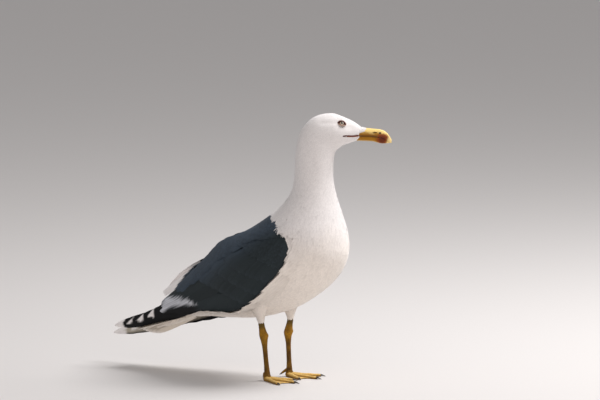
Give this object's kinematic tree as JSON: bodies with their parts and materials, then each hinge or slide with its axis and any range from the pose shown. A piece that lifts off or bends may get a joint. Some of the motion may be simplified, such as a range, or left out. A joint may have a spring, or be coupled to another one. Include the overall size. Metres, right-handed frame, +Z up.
{
  "type": "seagull",
  "caption": "Life-size standing gull, head turned left: slate back and wings, white head, breast and tail, yellow bill, webbed feet.",
  "frame": {"origin": "on the floor under the middle of the bird's bounding box", "axes": "+X the way the bird's body faces, +Y its left, +Z up"},
  "size_m": [0.44, 0.1334, 0.379],
  "materials": {
    "white_feathers": "soft white plumage",
    "slate_feathers": "dark slate-grey plumage, black with white spots at the wing tip",
    "bill_horn": "smooth yellow horn with a red spot near the tip",
    "leg_skin": "scaly ochre-yellow skin",
    "claw_horn": "dark horn",
    "eye": "glossy, pale iris round a dark pupil"
  },
  "bodies": {
    "root": {"head": "white_feathers", "neck": "white_feathers", "torso": "white_feathers", "mantle": "slate_feathers", "tail": "white_feathers", "wing_right": "slate_feathers", "wing_left": "slate_feathers", "thigh_right": "white_feathers", "thigh_left": "white_feathers", "bill_upper": "bill_horn", "bill_lower": "bill_horn", "eye_right": "eye", "eye_left": "eye", "shank_right": "leg_skin", "shank_left": "leg_skin", "foot_right": "leg_skin", "foot_left": "leg_skin", "claw_right_inner": "claw_horn", "claw_right_middle": "claw_horn", "claw_right_outer": "claw_horn", "claw_right_hind": "claw_horn", "claw_left_inner": "claw_horn", "claw_left_middle": "claw_horn", "claw_left_outer": "claw_horn", "claw_left_hind": "claw_horn"}
  },
  "joints": []
}
